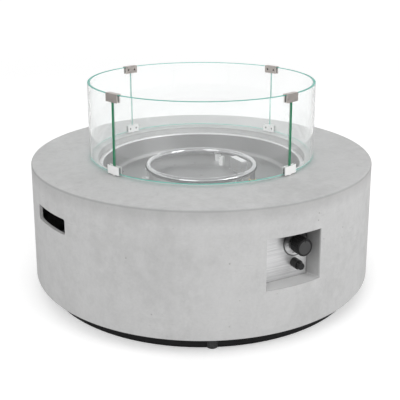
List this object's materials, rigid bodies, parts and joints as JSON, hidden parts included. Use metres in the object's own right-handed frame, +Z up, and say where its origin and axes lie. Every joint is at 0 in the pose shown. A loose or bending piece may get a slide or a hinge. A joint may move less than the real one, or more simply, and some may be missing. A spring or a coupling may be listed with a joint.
{
  "type": "fire pit table",
  "caption": "Low round concrete fire pit table with a drop-in stainless gas burner pan, a curved glass wind guard held by metal clips, and a recessed knob and igniter button.",
  "frame": {"origin": "on the floor under the drum's axis", "axes": "+Z is up along the drum's axis, the control recess faces -Y, +X is to the right seen from the recess"},
  "size_m": [1.0658, 1.066, 0.6369],
  "materials": {
    "concrete": "light grey cast concrete, fine pores",
    "base_paint": "black powder coat",
    "foot_rubber": "dark rubber",
    "screw_steel": "zinc plated",
    "pan_steel": "fine brushed stainless steel",
    "bracket_steel": "plain stainless sheet",
    "burner_steel": "polished stainless steel",
    "guard_steel": "perforated stainless sheet",
    "brass": "plain brass",
    "hose_steel": "stainless tube",
    "copper": "copper",
    "ceramic": "white ceramic",
    "lead_silicone": "red silicone lead",
    "plate_steel": "horizontally brushed stainless steel",
    "knob_plastic": "black plastic",
    "igniter_plastic": "black plastic",
    "valve_metal": "die-cast aluminium",
    "spring_steel": "spring wire",
    "battery_can": "wrapped battery cell",
    "glass": "clear tempered glass",
    "clip_steel": "brushed stainless steel",
    "pad_rubber": "soft grey pad"
  },
  "bodies": {
    "table": {"drum_shell": "concrete", "base_ring": "base_paint", "base_screws": "screw_steel", "feet": "foot_rubber", "foot_screws": "screw_steel", "seat_ring": "bracket_steel", "seat_screws": "screw_steel", "fire_pan": "pan_steel", "hold_down_clips": "bracket_steel", "hold_down_bolts": "screw_steel", "hold_down_nuts": "screw_steel", "burner_ring": "burner_steel", "ring_brackets": "bracket_steel", "bracket_rivets": "screw_steel", "riser_tube": "burner_steel", "riser_nuts": "brass", "air_mixer": "brass", "jet_elbow": "brass", "burner_hose": "hose_steel", "pilot_burner": "burner_steel", "pilot_nut": "brass", "pilot_line": "hose_steel", "igniter_guard": "guard_steel", "guard_screws": "screw_steel", "spark_electrode": "ceramic", "spark_lead": "lead_silicone", "thermocouple": "copper", "thermocouple_lead": "copper", "control_plate": "plate_steel", "plate_screws": "screw_steel", "bezel": "plate_steel", "knob_spring": "spring_steel", "valve_body": "valve_metal", "valve_nut": "brass", "gas_inlet": "brass", "igniter_collar": "igniter_plastic", "igniter_spring": "spring_steel", "igniter_body": "igniter_plastic", "igniter_nut": "igniter_plastic", "battery": "battery_can"},
    "wind_guard": {"glass_front": "glass", "glass_right": "glass", "glass_back": "glass", "glass_left": "glass", "top_clips": "clip_steel", "bottom_clips": "clip_steel", "clip_pads": "pad_rubber", "clip_screws": "screw_steel", "guard_feet": "clip_steel"},
    "knob_slide": {"thrust_collar": "screw_steel"},
    "knob": {"valve_stem": "screw_steel", "control_knob": "knob_plastic"},
    "button": {"igniter_button": "igniter_plastic"}
  },
  "joints": [
    {"name": "guard_lift", "type": "slide", "parent": "table", "child": "wind_guard", "axis": [0, 0, 1], "range_m": [0, 0.3]},
    {"name": "knob_push", "type": "slide", "parent": "table", "child": "knob_slide", "axis": [0, 1, 0], "range_m": [0, 0.005], "stiffness_N_per_m": 800, "springref_m": -0.005, "deforming": ["knob_spring"]},
    {"name": "knob_turn", "type": "hinge", "parent": "knob_slide", "child": "knob", "pos_m": [0.033, -0.5, 0.264], "axis": [0, -1, 0], "range_deg": [0, 180]},
    {"name": "igniter_push", "type": "slide", "parent": "table", "child": "button", "axis": [0, 1, 0], "range_m": [0, 0.004], "stiffness_N_per_m": 500, "springref_m": -0.004, "deforming": ["igniter_spring"]}
  ]
}
